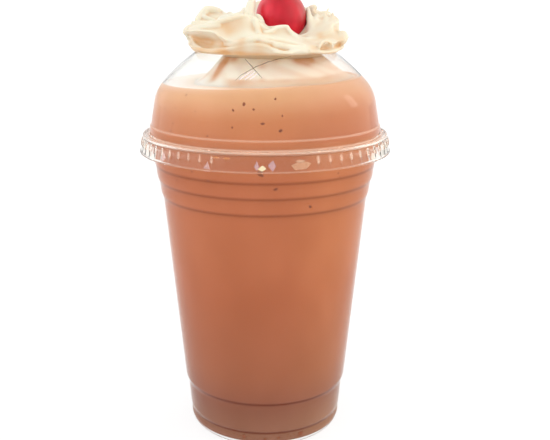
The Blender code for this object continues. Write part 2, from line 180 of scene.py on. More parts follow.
# Small facets inside the skirt, which hold the lid on the rim, coloured as painted glints and reflections,
# pale and greenish-grey: azimuth, height, half width and half height in mm, corners, share and colour.
TAB_GLINTS = (
    (-91.3, 121.9, 1.5, 1.1, 4, 0.9, (255, 244, 205)), (-93.4, 122.9, 0.9, 1.6, 4, 0.5, (222, 190, 200)),
    (-87, 123, 1.3, 2, 4, 0.42, (222, 190, 204)), (-115.3, 121.8, 1.9, 1.7, 3, 0.5, (228, 190, 190)),
    (-74.5, 122.6, 3.8, 1.7, 5, 0.3, (240, 196, 160)), (-75.5, 124.4, 2, 0.7, 4, 0.35, (246, 206, 176)),
    (-106.5, 125.2, 1.8, 0.5, 4, 0.35, (224, 150, 90)), (-33.5, 121.8, 1.5, 1.7, 4, 0.85, (255, 244, 236)),
    (-141, 122.6, 1.4, 1.8, 4, 0.5, (250, 226, 228)), (-111, 125.4, 1.6, 0.5, 4, 0.35, (232, 160, 104)),
    (-16, 121.6, 4.4, 2.4, 6, 0.34, (172, 178, 156)), (-168, 123.6, 3.4, 2.2, 6, 0.3, (206, 214, 196)),
)
# Dark specks of fruit against the plastic in front: azimuth, height and radius in mm.
SPECKS = (
    (-100, 144.2, 0.62), (-105, 142, 0.48), (-95.3, 142.5, 0.48), (-85, 146, 0.44), (-91, 137.5, 0.6),
    (-82, 140.2, 0.36), (-83, 135, 0.68), (-105, 135.9, 0.4), (-117, 132.4, 0.34), (-70, 131.4, 0.42),
    (-64, 130, 0.4), (-92, 118.8, 0.95), (-85, 113.2, 0.75), (-67, 105.4, 0.65), (-118, 115.4, 0.5),
    (-106, 4.2, 0.9), (-90, 3.7, 0.7), (-79.5, 4.2, 0.7), (-62, 4.3, 1.1),
)

# --- sizes of the finish only ----------------------------------------------------------------------

# Painted shade on the drink: a dark line at each step of the cup, and softer shade just below it,
# where the step shades the wall: height and strength.
STEP_SHADE_LINES = (
    (LOW_BAND_BOTTOM, 0.75), (LOW_BAND_TOP, 0.75), *((step[0], 0.38) for step in STACKING_STEPS),
)
INTO_WALL = 0.25 * MM  # how far the drink reaches into the plastic, so that no air gap shows
DOME_ROWS = 24  # of the drink's side within the dome
MENISCUS = 0.35 * MM  # height of the drink's raised edge
SURFACE_RINGS = (0.985, 0.965, 0.94, 0.9, 0.8, 0.65, 0.45, 0.25)  # shares of the drink's radius
CUP_SEGMENTS = 192
FLOOR_CENTRE = 0.4 * MM  # radius of the flat disc in the middle of the cup's floor
STEP_ROUNDING = 1.1 * MM
STEP_SOFTENING = 0.7 * MM
LID_SEGMENTS = 512
ARC_STEPS = 14
RIBS = 64
RIB_HEIGHTS = (122.9 * MM, 126.5 * MM)
RIB_ROWS = 14
RIB_HEIGHT = 0.5 * MM
RIB_FADE = 0.8 * MM  # length over which the ribs rise at each end
RIB_SHARPNESS = 14
HEAD_SEGMENTS = 300
HEAD_STEPS = 14  # rows from one crest to the next
HEAD_CORE = (11 * MM, 166 * MM)  # radius and height that the grooves between the crests point to
FOLD_CORE = Vector((2 * MM, 0, 163 * MM))  # the folds lie on the side away from it
FOLD_STEPS = 6  # rings from one key to the next
FOLD_SIDES = 10
CREAM_VOXEL = 0.35 * MM
MOUND_SEGMENTS = 240
MOUND_ROWS = 40
CHERRY_SEGMENTS = 96
CHERRY_ROWS = 64
CHERRY_BED_RADIUS = CHERRY_RADIUS + 0.05 * MM  # the cream's hollow under the fruit
CHERRY_BULGE = 0.15
CHERRY_CHEEK = Vector((0.66, -0.3, -0.69)).normalized()  # where the fruit bulges
CHEEK_DIP = (14.7, -6.4, 169.0)  # in mm: the cream sinks here, in front of the fruit's bulge
CHEEK_DIP_DEPTH = 2.2 * MM
CHEEK_DIP_RADIUS = 2.6 * MM
FRAME_LINE_WIDTH = 0.17 * MM  # half of it
STRIPE_WIDTH = 1.8 * FRAME_LINE_WIDTH
TAB_RADIUS = 49.3 * MM
TAB_THICKNESS = 0.3 * MM
SPECK_DEPTH = 0.14 * MM
SPECKS_ELSEWHERE = 60
SPECK_RANGES = ((-58, 238), (86, 147), (0.2, 0.45))  # their azimuths, heights and radii in mm
FLOOR_SIZE = 60.0
FLOOR_GLOW = 0.82  # the floor is a light table: most of its brightness is its own
WINDOW_PLACE = Vector((0.946, 0.2, 0.477))
WINDOW_AIM = Vector((0.03, -0.03, 0.144))
WINDOW_SIZE = (0.2, 0.4)
WINDOW_POWER = 0.5

PHOTO_WIDTH = 550
FOCAL_PIXELS = 845.0
SENSOR_WIDTH = 36.0
CAMERA_DISTANCE = 346.5 * MM
CAMERA_HEIGHT = 184.1 * MM
CAMERA_PITCH = radians(15.29)
AXIS_PIXEL = 265.0  # column of the cup's axis

# The head's piped folds: half width and lift in mm, then the keys along each fold, which are either
# (azimuth, band) or (x, y, z) in mm.
FOLDS = (
    # the left side: top ridge, the two edges of the hollow, and the folds that run from them to the front
    (0.9, 0, ((-150, 1.9), (-140, 1.95), (-130, 1.95), (-122, 1.97), (-115, 2), (-108, 2.05))),
    (0.5, 0.1, ((-172, 1.05), (-144, 1.05), (-130, 1.02), (-124, 0.9), (-120, 0.55), (-116, 0.25))),
    (0.6, 0.2, ((-176, 0.6), (-160, 0.15), (-148, 0.05), (-136, 0.05), (-124, 0.1), (-108, 0.1))),
    (1.2, 0, ((-122, 0.45), (-112, 0.7), (-104, 0.85), (-96, 1.05), (-82, 1.2), (-70, 1.2), (-58, 1.05))),
    (2, 0.2, ((150, 2.25), (158, 2), (170, 1.9))),
    (1.5, -0.3, ((-174, 1.72), (-160, 1.7), (-148, 1.68), (-138, 1.62), (-128, 1.6))),
    # the front: the dollop's wavy rim against the cherry, and the lip
    (0.9, 0.3, ((-92, 1.6), (-86, 1.75), (-76, 2), (-67, 2.05), (-61, 2), (-57, 1.7), (-54, 1.4))),
    (0.6, -0.2, ((-44, 1.8), (-38, 2.1), (-33, 2.3))),
    (1.7, -0.5, ((-104, 2.2), (-101, 1.8), (-96, 1.35))),
    (0.8, 0.3, ((-112, 0.2), (-104, 0.25), (-92, 0.35), (-84, 0.2), (-78, 0.1), (-70, 0))),
    (0.8, 0.2, ((-84, 0), (-72, 0.1), (-58, 0.4), (-48, 0.45))),
    (1.2, -0.3, ((-84, 0.75), (-74, 0.8), (-64, 0.7), (-56, 0.55))),
    # the white lobe beside the cherry, and its edge in front of the fruit
    (1.2, 0, (
        (-4.8, -6.5, 174.2), (-2.6, -8, 173.7), (-1.6, -9.2, 172.4), (-0.8, -10.2, 170.6),
        (0.8, -11.2, 168.8),
    )),
    (2.1, 0, (
        (-3.4, -11.5, 166.5), (-4.8, -9.5, 170.5), (-6, -7.6, 174.2), (-5.6, -5.4, 177.6),
        (-4.8, -3.4, 180.2),
    )),
    # the right side: a nub, a crescent, soft upright crinkles, a round lobe and a curl
    (1.7, 0, ((16.4, 6, 174.2), (18.2, 6, 176), (19.8, 6, 176.8), (21.2, 6.5, 176.6))),
    (0.9, 0.5, ((25.4, 4.6, 176.8), (23.9, 2, 174.2), (21.8, 0.2, 172.7), (19.2, -1.6, 172))),
    (1.4, 0.4, (
        (17.6, -7.2, 167), (17.5, -5.8, 169.6), (17.1, -3.2, 172.2), (17.1, -0.2, 174.6),
        (16.7, 2.8, 176.9),
    )),
    (1, 0.2, ((18.4, -9, 166.8), (18.8, -6.4, 169.2), (19.4, -3, 171.4))),
    (1.1, 0, ((19, -4, 170.8), (18.4, -6, 169), (18, -8, 167.1))),
    (1, 0.1, ((21.6, -1.6, 171.6), (21, -5, 169.4), (20.6, -8, 167))),
    (1, 0.1, ((24.6, 0.4, 173.9), (23.6, -4, 171), (22.8, -8, 167.6))),
    (1, 0.1, ((27, 2, 175.2), (26.4, -2, 172), (25.6, -6, 168.2))),
    (1.2, 0.1, ((29, 2, 172.6), (28.6, -2, 170.4), (28, -5, 167.8))),
    (2.2, 0, ((30.2, -5, 167.4), (30.6, -8.5, 165.9), (29, -11, 163.6))),
    (0.8, 0.4, (
        (20.2, -22.4, 162.6), (20.8, -21.4, 164.3), (22.7, -20.4, 165.2), (24.7, -19.2, 164.4),
        (25.5, -19, 162.4),
    )),
    (0.9, 0.2, ((-56, 0.1), (-40, 0), (-26, 0), (-14, 0.1))),
    (0.6, 0.2, ((-62, 0.05), (-58, 0.4), (-56, 0.8))),
)
# Painted shade on the cream: tan spots where folds lie in shade and take on the drink's colour: azimuth,
# band, radius in mm and strength.
SHADE_SPOTS = (
    (-122, 1.4, 4, 0.5), (-114, 1.8, 3.4, 0.35), (-106, 0.95, 1.6, 0.5), (-144, 0.35, 5, 0.7),
    (-162, 0.5, 4, 0.6), (-108, 0, 3, 0.5), (-122, 0, 3.5, 0.6), (-94, 0, 3, 0.5),
    (-96, 1.55, 1.8, 0.5), (-86, 0.5, 1.8, 0.3), (-76, 0.45, 1.8, 0.3), (8, 3, 1.8, 0.5),
    (54, 1.15, 1.4, 0.3), (-30, 1.95, 1.8, 0.4), (-40, 0.85, 2, 0.5), (-22, 0.7, 2.4, 0.35),
    (-50, 1.25, 3, 0.3), (-52, 0.35, 1.8, 0.5), (2, 2.1, 2, 0.3),
)
# The same for the cream in the dome, partly streaks of the drink and partly painted shade on its flanks:
# place and radius in mm, and strength.
MOUND_SHADE_SPOTS = (
    ((-15.3, -11.1, 157.3), 2.6, 0.9), ((-16.8, -11.8, 155.4), 2.4, 0.8), ((-17.9, -13.1, 153.6), 2.2, 0.7),
    ((-19.1, -14.4, 151.8), 2.2, 0.65), ((-20.2, -16.3, 150.1), 2, 0.5), ((-24.7, -6.6, 149.9), 3, 0.4),
    ((-3.5, -17.6, 158.2), 1.6, 0.4), ((-1.1, -22.5, 156), 1.8, 0.5), ((12.6, -18.5, 157.9), 2.4, 0.8),
    ((16.3, -15.5, 158), 3, 1), ((16.1, -18.8, 156.4), 1.8, 0.5), ((-1.1, -28, 151.3), 1.6, 0.35),
    ((4, -19.8, 158), 2, 0.5), ((-11.5, -14, 157.9), 2, 0.6), ((-9.4, -26, 150.3), 3, 0.2),
)
# Painted shade: the head's underside is tan, as if in shade and lit by the drink.
SHADED_UNDERSIDE_TOP = 161.8 * MM  # the head is tan below this height
MOUND_FOOT_SHARE = 0.34  # of its height: the part that the drink tints
BACK_FOLDS = (14, 182, 12)  # first and last azimuth, and how many leaning folds lie between them

# --- curves ----------------------------------------------------------------------------------------

def smooth_step(t):
    return t * t * (3 - 2 * t)


def between(low, high, t):
    return low + (high - low) * t


def clamp(value, low=0.0, high=1.0):
    return max(low, min(high, value))


def bump(azimuth, centre, width):
    """1 at the centre azimuth, falling smoothly to 0 at width degrees on each side."""
    away = abs((azimuth - centre + 180) % 360 - 180)
    return smooth_step(1 - away / width) if away < width else 0.0


def cubic(start, end, leaving, arriving, t):
    """A smooth curve from start to end, with the slope at which it leaves and arrives."""
    return between(start, end, smooth_step(t)) + leaving * t * (1 - t) ** 2 - arriving * t * t * (1 - t)


def catmull(before, start, end, after, t):
    """The way from start to end of a smooth line through four even keys."""
    return cubic(start, end, (end - before) / 2, (after - start) / 2, t)


def round_crest(keys, azimuth):
    """Radius and height in metres on the smooth closed line through the keys."""
    wrapped = [(key[0] + 360 * lap, *key[1:]) for lap in (-1, 0, 1) for key in keys]
    low = max(i for i, key in enumerate(wrapped) if key[0] <= azimuth)
    before, start, end, after = wrapped[low - 1:low + 3]
    span = end[0] - start[0]
    found = []
    for axis in (1, 2):
        leaving = (end[axis] - before[axis]) / (end[0] - before[0]) * span
        arriving = (after[axis] - start[axis]) / (after[0] - start[0]) * span
        found.append(MM * cubic(start[axis], end[axis], leaving, arriving, (azimuth - start[0]) / span))
    return found


def arc(start, lean, radius, bend):
    """Points of (radius, height) along an arc that starts at a lean from upright and bends inward."""
    centre = (start[0] - radius * cos(lean), start[1] - radius * sin(lean))
    angles = [lean + bend * step / ARC_STEPS for step in range(1, ARC_STEPS + 1)]
    return [(centre[0] + radius * cos(a), centre[1] + radius * sin(a)) for a in angles]


def dome_outline(inset):
    """The dome's profile from its foot to the hole, set in from the outside by inset."""
    foot = (DOME_FOOT[0] - inset * cos(DOME_DRAFT), DOME_FOOT[1] - inset * sin(DOME_DRAFT))
    bend = (foot[0] - DOME_UPRIGHT * sin(DOME_DRAFT), foot[1] + DOME_UPRIGHT * cos(DOME_DRAFT))
    outline = [foot, bend]
    outline += arc(bend, DOME_DRAFT, DOME_BEND_RADIUS - inset, DOME_SLOPE - DOME_DRAFT)
    outline += arc(outline[-1], DOME_SLOPE, DOME_CROWN_RADIUS - inset, DOME_CROWN_LEAN - DOME_SLOPE)
    edge = outline[-1]
    outline.append((HOLE_RADIUS, edge[1] + (edge[0] - HOLE_RADIUS) / 2))
    return outline


def dome_radius(height, inset):
    """Radius of the dome's profile at a height, set in by inset."""
    radii, heights = zip(*dome_outline(inset))
    return float(np.interp(height, heights, radii))


def dome_height(radius):
    """Height of the dome's outside at a radius."""
    radii, heights = zip(*reversed(dome_outline(0.0)))
    return float(np.interp(radius, radii, heights))


def cup_wall_outline():
    """The outside of the cup's wall, from the low groove to the neck, with each step drawn out a little."""
    half = STEP_HEIGHT / 2 + STEP_SOFTENING
    outline = [
        (BASE_BEAD_RADIUS - 0.6 * MM, LOW_BAND_BOTTOM - STEP_HEIGHT / 2),
        (LOW_BAND_RADII[0], LOW_BAND_BOTTOM + half),
        (LOW_BAND_RADII[1], LOW_BAND_TOP - half),
        (WALL_RADII[0], LOW_BAND_TOP + half),
        (WALL_RADII[1], STACKING_STEPS[0][0] - half),
    ]
    tops = [step[0] for step in STACKING_STEPS[1:]] + [CUP_RIM_TOP - 3.0 * MM + STEP_SOFTENING]
    for (height, low_radius, high_radius), top in zip(STACKING_STEPS, tops):
        outline += [(low_radius, height + half), (high_radius, top - half)]
    return outline


def drink_radius(height):
    """Radius of the drink's side where it touches the plastic."""
    if height >= DOME_FOOT[1]:
        return dome_radius(height, LID_WALL - INTO_WALL)
    radii, heights = zip(*cup_wall_outline(), (CUP_NECK_RADIUS, DOME_FOOT[1]))
    return float(np.interp(height, heights, radii)) - CUP_WALL + INTO_WALL


def shake_height(x):
    """Height of the drink's level, which rises to the right."""
    return SHAKE_LEVEL + SHAKE_TILT * x


def near(corner, *steps):
    """Points at steps of (radius, height) in mm from a corner."""
    return [(corner[0] + across * MM, corner[1] + up * MM) for across, up in steps]


def rounded(outline, radius, closed=False, steps=4):
    """The outline with each corner replaced by a short curve that starts radius away from it."""
    count = len(outline)
    points = []
    for i, corner in enumerate(outline):
        if not closed and i in (0, count - 1):
            points.append(corner)
            continue
        ends = []
        for other in (outline[i - 1], outline[(i + 1) % count]):
            length = hypot(other[0] - corner[0], other[1] - corner[1])
            share = min(radius, 0.45 * length) / length
            ends.append([between(corner[axis], other[axis], share) for axis in (0, 1)])
        for t in np.linspace(0, 1, steps + 1):
            weights = ((1 - t) ** 2, 2 * t * (1 - t), t * t)
            points.append(tuple(np.dot(weights, (ends[0], corner, ends[1]))))
    return points


# --- meshes ----------------------------------------------------------------------------------------

def turn(count):
    """The angles of so many even steps round the axis."""
    return [2 * pi * step / count for step in range(count)]


def level_point(radius, height, angle):
    return Vector((radius * cos(angle), radius * sin(angle), height))


def new_object(name, data):
    made = bpy.data.objects.new(name, data)
    bpy.context.scene.collection.objects.link(made)
    return made


def mesh_object(name, skin, material, sharp_angle=radians(60)):
    """An object from a skin, which is points and faces."""
    mesh = bpy.data.meshes.new(name)
    mesh.from_pydata([tuple(point) for point in skin[0]], [], skin[1])
    mesh.update()
    mesh.materials.append(material)
    mesh.shade_smooth()
    mesh.set_sharp_from_angle(angle=sharp_angle)
    return new_object(name, mesh)


def ring_faces(rings, count, closed=False):
    """Quads between neighbouring rings of count points. The rings run up the outside."""
    faces = []
    for row in range(rings if closed else rings - 1):
        low, high = row * count, (row + 1) % rings * count
        for i in range(count):
            j = (i + 1) % count
            faces.append((low + i, low + j, high + j, high + i))
    return faces


def plugged(rings, closed=False):
    """A skin over rings of equal length, which ends in flat faces unless the rings close on themselves."""
    count = len(rings[0])
    points = [point for ring in rings for point in ring]
    faces = ring_faces(len(rings), count, closed)
    if not closed:
        faces += [tuple(range(count))[::-1], tuple(range(len(points) - count, len(points)))]
    return points, faces


def capped(rings, bottom, top):
    """A skin over rings of equal length, closed by a fan to a point at each end."""
    count = len(rings[0])
    points = [point for ring in rings for point in ring] + [bottom, top]
    faces = ring_faces(len(rings), count)
    low, high = len(points) - 2, len(points) - 1
    last = low - count
    for i in range(count):
        j = (i + 1) % count
        faces += [(j, i, low), (last + i, last + j, high)]
    return points, faces


def joined(skins):
    """Several skins as one."""
    points, faces = [], []
    for part_points, part_faces in skins:
        start = len(points)
        points += part_points
        faces += [tuple(start + i for i in face) for face in part_faces]
    return points, faces


def turned(name, outline, segments, material, closed=False, raised=lambda *place: 0.0):
    """A piece turned about Z. raised(radius, height, azimuth in radians) is added to a point's radius."""
    rings = [
        [level_point(radius + raised(radius, height, angle), height, angle) for angle in turn(segments)]
        for radius, height in outline
    ]
    return mesh_object(name, plugged(rings, closed), material)


def tube_rings(spots, outward, radii, sides, flatness=1.0):
    """The rings of a tube, counter-clockwise seen from its start. Outward leads off the surface below it."""
    last = len(spots) - 1
    rings = []
    for i, (spot, out, radius) in enumerate(zip(spots, outward, radii)):
        along = (spots[min(i + 1, last)] - spots[max(i - 1, 0)]).normalized()
        side = along.cross(out).normalized()
        up = side.cross(along) * flatness
        rings.append([spot + side * radius * cos(a) + up * radius * sin(a) for a in turn(sides)])
    return rings


def set_values(piece, name, values):
    """Gives each point of the piece a value that a material reads."""
    attribute = piece.data.attributes.new(name, "FLOAT", "POINT")
    attribute.data.foreach_set("value", [float(value) for value in values])


def place_piece(piece, node=None):
    """Puts the piece on the part's only body, and in the place of the node where one is named."""
    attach(piece, "root")
    if node:
        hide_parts(node)


# --- materials -------------------------------------------------------------------------------------

class Nodes:
    """The node tree of a material or world, written one node at a time."""

    def __init__(self, owner):
        owner.use_nodes = True
        self.owner, self.tree = owner, owner.node_tree

    def feed(self, socket, value):
        """Links the value to the socket where it is a socket too, and sets it otherwise."""
        if isinstance(value, bpy.types.NodeSocket):
            self.tree.links.new(value, socket)
        else:
            socket.default_value = value

    def node(self, kind, inputs=None, **settings):
        made = self.tree.nodes.new(kind)
        for name, value in settings.items():
            setattr(made, name, value)
        for name, value in (inputs or {}).items():
            self.feed(made.inputs[name], value)
        return made

    def place(self, kind="Object"):
        """Object coordinates are the row frame's."""
        return self.node("ShaderNodeTexCoord").outputs[kind]

    def axes(self, kind="Object"):
        return self.node("ShaderNodeSeparateXYZ", {0: self.place(kind)}).outputs

    def attribute(self, name):
        return self.node("ShaderNodeAttribute", attribute_name=name).outputs["Fac"]

    def noise(self, scale, detail=3.0, stretch=None):
        place = self.place()
        if stretch:
            place = self.node("ShaderNodeMapping", {"Vector": place, "Scale": stretch}).outputs[0]
        inputs = {"Vector": place, "Scale": scale, "Detail": detail}
        return self.node("ShaderNodeTexNoise", inputs).outputs["Fac"]

    def ramp(self, factor, stops, interpolation="LINEAR"):
        """A colour ramp: stops are (position, colour)."""
        made = self.node("ShaderNodeValToRGB", {"Fac": factor})
        made.color_ramp.interpolation = interpolation
        elements = made.color_ramp.elements
        while len(elements) < len(stops):
            elements.new(0.5)
        for element, (position, colour) in zip(elements, stops):
            element.position, element.color = position, (*colour, 1.0)
        return made.outputs["Color"]

    def remap(self, value, low, high, to_low=0.0, to_high=1.0):
        inputs = {"Value": value, "From Min": low, "From Max": high, "To Min": to_low, "To Max": to_high}
        return self.node("ShaderNodeMapRange", inputs).outputs["Result"]

    def mix(self, factor, first, second, blend="MIX"):
        colours = [c if isinstance(c, bpy.types.NodeSocket) else (*c, 1.0) for c in (first, second)]
        inputs = dict(zip((0, 6, 7), (factor, *colours)))
        return self.node("ShaderNodeMix", inputs, data_type="RGBA", blend_type=blend).outputs[2]

    def math(self, operation, *values):
        return self.node("ShaderNodeMath", dict(enumerate(values)), operation=operation).outputs[0]

    def mix_shader(self, factor, first, second):
        return self.node("ShaderNodeMixShader", {0: factor, 1: first, 2: second}).outputs[0]


class Shader(Nodes):
    """A material with one surface shader."""

    def __init__(self, name):
        super().__init__(bpy.data.materials.new(name))
        self.surface = self.tree.nodes["Principled BSDF"]

    def set(self, **values):
        """Sets the surface shader's sockets. An underscore stands for a space."""
        for name, value in values.items():
            self.feed(self.surface.inputs[name.replace("_", " ")], value)

    def bumped(self, height, strength, distance):
        made = self.node("ShaderNodeBump", {"Height": height, "Strength": strength, "Distance": distance})
        self.set(Normal=made.outputs["Normal"])

    def show(self, surface):
        """Shows another surface in place of the surface shader's own."""
        self.feed(self.tree.nodes["Material Output"].inputs["Surface"], surface)


def linear(red, green, blue):
    """A display colour of 0 to 255 as the linear numbers that a shader takes."""
    shares = (c / 255 for c in (red, green, blue))
    return tuple(c / 12.92 if c <= 0.04045 else ((c + 0.055) / 1.055) ** 2.4 for c in shares)


def clear_plastic(name, tint, ior, roughness, haze, highlight_bands=(), ridges=0.0, shade_stops=()):
    """Thin clear plastic, slightly wavy from forming. Lamps and bounced light pass straight through it.

    The pale bands are (height, half width, strength) of the rings that carry a painted highlight, where the
    plastic looks pale and milky. ridges is the same strength for the painted highlight on the crests that the
    mesh's ridge attribute marks. The tint stops are (height, colour) stops of painted shade, where the
    plastic is darker than elsewhere.
    """
    shader = Shader(name)
    colour = (*tint, 1.0)
    # Painted shade: the plastic is darker at these heights.
    if shade_stops:
        low, high = shade_stops[0][0], shade_stops[-1][0]
        stops = [((stop - low) / (high - low), stop_colour) for stop, stop_colour in shade_stops]
        colour = shader.ramp(shader.remap(shader.axes()["Z"], low, high), stops)
    shader.set(
        Base_Color=colour, Transmission_Weight=1.0, IOR=ior,
        Roughness=shader.remap(shader.noise(900.0, 2.0), 0.35, 0.7, roughness, roughness + haze),
    )
    shader.bumped(shader.noise(90.0, 1.0, stretch=(1.0, 1.0, 0.35)), 0.25, 0.4 * MM)
    surface = shader.surface.outputs[0]
    # Painted highlight: a pale milky shader mixed in on the bands and on the ribs' crests.
    if highlight_bands:
        height = shader.axes()["Z"]
        pale = shader.math("MULTIPLY", shader.attribute("ridge"), ridges)
        for centre, half_width, strength in highlight_bands:
            away = shader.math("ABSOLUTE", shader.math("SUBTRACT", height, centre))
            band = shader.remap(away, half_width, 0.35 * half_width, 0.0, strength)
            pale = shader.math("MAXIMUM", pale, band)
        highlight_look = {"Base Color": (*linear(248, 214, 190), 1.0), "Roughness": 0.3}
        highlight_look = shader.node("ShaderNodeBsdfPrincipled", highlight_look).outputs[0]
        surface = shader.mix_shader(pale, surface, highlight_look)
    path = shader.node("ShaderNodeLightPath").outputs
    through = shader.node("ShaderNodeBsdfTransparent", {"Color": (0.97, 0.97, 0.97, 1.0)}).outputs[0]
    for ray in ("Is Shadow Ray", "Is Diffuse Ray"):
        surface = shader.mix_shader(path[ray], surface, through)
    shader.show(surface)
    return shader.owner


def shake_material():
    """Thick fruit shake: salmon, paler under the froth at its surface, with painted light and shade: darker
    low down and under each step, lighter up in the dome and toward the sides.
    """
    shader = Shader("milkshake")
    axes = shader.axes()
    tilted = shader.math("MULTIPLY_ADD", axes["X"], -SHAKE_TILT, axes["Z"])
    # The drink's colour by height, with painted light and shade in it: darker low down, lighter in the dome.
    stops = [(height * MM / SHAKE_LEVEL, linear(*colour)) for height, colour in SHAKE_COLOURS_LIT_AND_SHADED]
    body = shader.ramp(shader.remap(tilted, 0.0, SHAKE_LEVEL), stops)
    mottle = shader.noise(60.0, 4.0, stretch=(1.0, 1.0, 0.6))
    tone = shader.mix(shader.remap(mottle, 0.3, 0.7), (0.87, 0.88, 0.87), (0.97, 1.01, 1.05))
    body = shader.mix(1.0, body, tone, "MULTIPLY")
    # Painted light from the sides on the drink in the cup, and a darker right side in the dome.
    across = shader.remap(axes["X"], -CUP_NECK_RADIUS, CUP_NECK_RADIUS)
    in_cup, in_dome, foam = (
        shader.ramp(across, [((x * MM / CUP_NECK_RADIUS + 1) / 2, colour) for x, colour in stops])
        for stops in (CUP_SIDE_LIGHT_TONES, DOME_TONES, [(x, linear(*colour)) for x, colour in FOAM_COLOURS_AND_SHEEN])
    )
    side = shader.mix(shader.remap(axes["Z"], CUP_RIM_TOP, SHOULDER_HEIGHT), in_cup, in_dome)
    body = shader.mix(1.0, body, side, "MULTIPLY")
    # Painted shade: a dark line at each step of the cup, and softer shade just below it.
    shade = 0.0
    for height, strength in STEP_SHADE_LINES:
        above = shader.math("SUBTRACT", axes["Z"], height)
        line = shader.remap(shader.math("ABSOLUTE", above), 0.9 * MM, 0.2 * MM, 0.0, strength)
        below = shader.remap(above, -3.4 * MM, -0.6 * MM, 0.0, 0.13)
        below = shader.math("MULTIPLY", below, shader.math("LESS_THAN", above, 0.0))
        shade = shader.math("ADD", shade, shader.math("ADD", line, below))
    body = shader.mix(shade, body, linear(96, 36, 14))
    # The froth's colour carries painted sheen: almost white toward the left.
    shader.set(
        Base_Color=shader.mix(shader.attribute("froth"), body, foam), Roughness=0.5, Specular_IOR_Level=0.0,
        Subsurface_Weight=0.12, Subsurface_Radius=(1.0, 0.45, 0.25), Subsurface_Scale=2.0 * MM,
    )
    shader.bumped(shader.noise(250.0, 2.0), 0.06, 0.3 * MM)
    return shader.owner


def cream_material(name, pale, hollow, cloud):
    """Whipped cream. An attribute of the mesh mixes in the tan hollow colour as painted shade, in the folds
    and other places in shade.
    """
    shader = Shader(name)
    tinted = shader.mix(shader.attribute("painted_warm_shade"), pale, hollow)
    cloudy = shader.remap(shader.noise(120.0, 3.0), 0.35, 0.7, 0.0, 0.25)
    shader.set(
        Base_Color=shader.mix(cloudy, tinted, cloud), Roughness=0.42, IOR=1.4,
        Subsurface_Weight=0.35, Subsurface_Radius=(1.0, 0.75, 0.5), Subsurface_Scale=2.5 * MM,
    )
    shader.bumped(shader.noise(1400.0, 3.0), 0.25, 0.15 * MM)
    return shader.owner


def cherry_material():
    """Wet candied skin: crimson, mottled, with painted light that makes it paler on the left and below, under
    a clear gloss.
    """
    shader = Shader("cherry_skin")
    axes = shader.axes()
    x, z = CHERRY_CENTRE.x, CHERRY_CENTRE.z
    # Painted light: paler on the left and toward the bottom, over the skin's mottling.
    left = shader.remap(axes["X"], x - CHERRY_RADIUS, x + CHERRY_RADIUS, 0.26, -0.22)
    below = shader.remap(axes["Z"], z - CHERRY_RADIUS, z - 0.2 * CHERRY_RADIUS, 0.6, 0.0)
    mottled = shader.noise(110.0, 2.0, stretch=(1.0, 1.0, 0.5))
    flush_and_light = shader.math("ADD", mottled, shader.math("ADD", left, below))
    shader.set(
        Base_Color=shader.ramp(flush_and_light, [(share, linear(*colour)) for share, colour in CHERRY_COLOURS]),
        Roughness=0.3, IOR=1.34, Coat_Weight=0.2, Coat_Roughness=0.12,
        Subsurface_Weight=0.25, Subsurface_Radius=(1.0, 0.15, 0.12), Subsurface_Scale=3.0 * MM,
    )
    shader.bumped(shader.noise(500.0, 2.0), 0.1, 0.2 * MM)
    return shader.owner


def painted_reflection_mark(name, colour, share, roughness=0.3):
    """A half-clear painted reflection on the plastic, pale or dark: the share of its own colour, over what is
    behind it.
    """
    shader = Shader(name)
    grain = shader.noise(600.0, 2.0)
    shader.set(Base_Color=shader.mix(grain, [0.9 * c for c in colour], colour), Roughness=roughness)
    through = shader.node("ShaderNodeBsdfTransparent").outputs[0]
    shader.show(shader.mix_shader(share, through, shader.surface.outputs[0]))
    return shader.owner


def speck_material():
    shader = Shader("fruit_speck")
    tone = shader.mix(shader.noise(900.0, 1.0), linear(104, 40, 8), linear(150, 76, 28))
    shader.set(Base_Color=tone, Roughness=0.5)
    return shader.owner


# --- the pieces ------------------------------------------------------------------------------------

def make_cup():
    foot_inside = FOOT_RADIUS - FOOT_WIDTH
    recess = CUP_FLOOR - CUP_WALL
    wall = cup_wall_outline()
    outline = [
        (FLOOR_CENTRE, recess), (foot_inside - 1.2 * MM, recess), (foot_inside, 0.0), (FOOT_RADIUS, 0.0),
        (BASE_BEAD_RADIUS - 0.8 * MM, 1.5 * MM), (BASE_BEAD_RADIUS, 4.0 * MM), *wall,
        *near((CUP_RIM_RADIUS, CUP_RIM_TOP), (-0.5, -2.4), (0, -1.3), (-0.8, 0)),
        (CUP_NECK_RADIUS, CUP_RIM_TOP), (CUP_NECK_RADIUS - CUP_WALL, CUP_RIM_TOP - 0.8 * MM),
        *((radius - CUP_WALL, height) for radius, height in reversed(wall)),
        (FOOT_RADIUS, CUP_FLOOR), (FLOOR_CENTRE, CUP_FLOOR),
    ]
    plastic = clear_plastic("clear_cup_plastic", (0.985, 0.99, 0.985), 1.25, 0.03, 0.02)
    cup = turned("cup_shell", rounded(outline, STEP_ROUNDING), CUP_SEGMENTS, plastic)
    place_piece(cup, "cup")


def rib_share(angle):
    """How much of the ribs and of their painted highlight shows: they fade out at the front and the back of
    the skirt.
    """
    return between(0.15, 1.0, smooth_step(clamp((abs(cos(angle)) - 0.25) / 0.15)))


def rib(radius, height, angle):
    """How far the skirt's grip ribs stand out: narrow upright ridges in the band under the flange."""
    low, high = RIB_HEIGHTS
    if radius <= GRIP_TOP[0] - 0.1 * MM or not low < height < high:
        return 0.0
    fade = smooth_step(clamp((height - low) / RIB_FADE)) * smooth_step(clamp((high - height) / RIB_FADE))
    return RIB_HEIGHT * fade * rib_share(angle) * abs(cos(angle * RIBS / 2)) ** RIB_SHARPNESS


